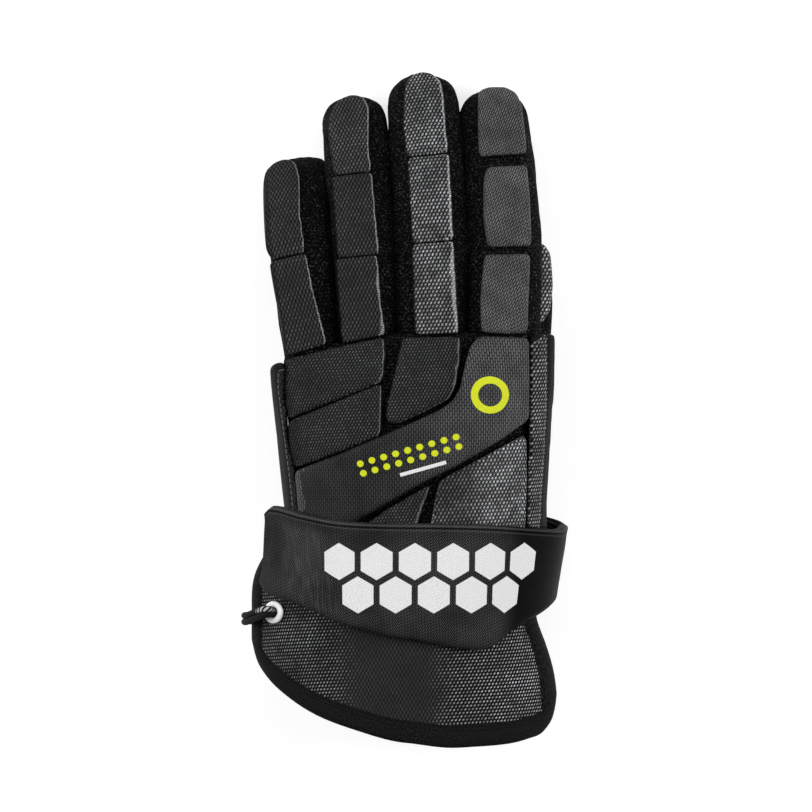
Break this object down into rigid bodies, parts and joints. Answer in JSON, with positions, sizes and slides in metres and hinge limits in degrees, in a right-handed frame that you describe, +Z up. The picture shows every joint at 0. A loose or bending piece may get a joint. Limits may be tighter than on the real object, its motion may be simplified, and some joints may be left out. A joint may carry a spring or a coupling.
{
  "type": "lacrosse glove",
  "caption": "Padded left-hand lacrosse glove in black and charcoal with a wrist strap and flared cuff, lying on its palm.",
  "frame": {"origin": "under the middle of the glove, on the surface that it lies on", "axes": "+X to the side of the thumb, +Y from the wrist to the fingertips, +Z up through the back of the hand"},
  "size_m": [0.1448, 0.2998, 0.0796],
  "materials": {
    "weave": "coarse charcoal weave with pale flecks",
    "twill": "embossed semi-gloss leatherette",
    "mesh": "matte black spacer mesh",
    "binding": "matte black woven binding",
    "palm": "matte synthetic suede",
    "eyelet": "smooth white plastic",
    "lace": "twisted black lace with white flecks"
  },
  "bodies": {
    "root": {"pinky_tip_pad": "weave", "pinky_base_pad": "weave", "ring_tip_pad": "weave", "ring_middle_pad": "weave", "ring_base_pad": "weave", "middle_tip_pad": "weave", "middle_middle_pad": "weave", "middle_base_pad": "weave", "thumb_pad": "weave", "outer_back_pad_upper": "weave", "outer_back_pad_lower": "weave", "centre_back_pad": "weave", "lower_back_pad_right": "weave", "lower_back_pad_left": "weave", "pinky_side_panel": "weave", "thumb_side_panel": "weave", "cuff_flare": "weave", "index_tip_pad": "twill", "index_middle_pad": "twill", "index_base_pad": "twill", "diagonal_back_pad": "twill", "wrist_strap": "twill", "hand_shell": "mesh", "pinky_stall": "mesh", "ring_stall": "mesh", "middle_stall": "mesh", "index_stall": "mesh", "thumb_stall": "mesh", "cuff_binding": "binding", "palm_panel": "palm", "cuff_eyelet": "eyelet", "cuff_lace": "lace"}
  },
  "joints": []
}
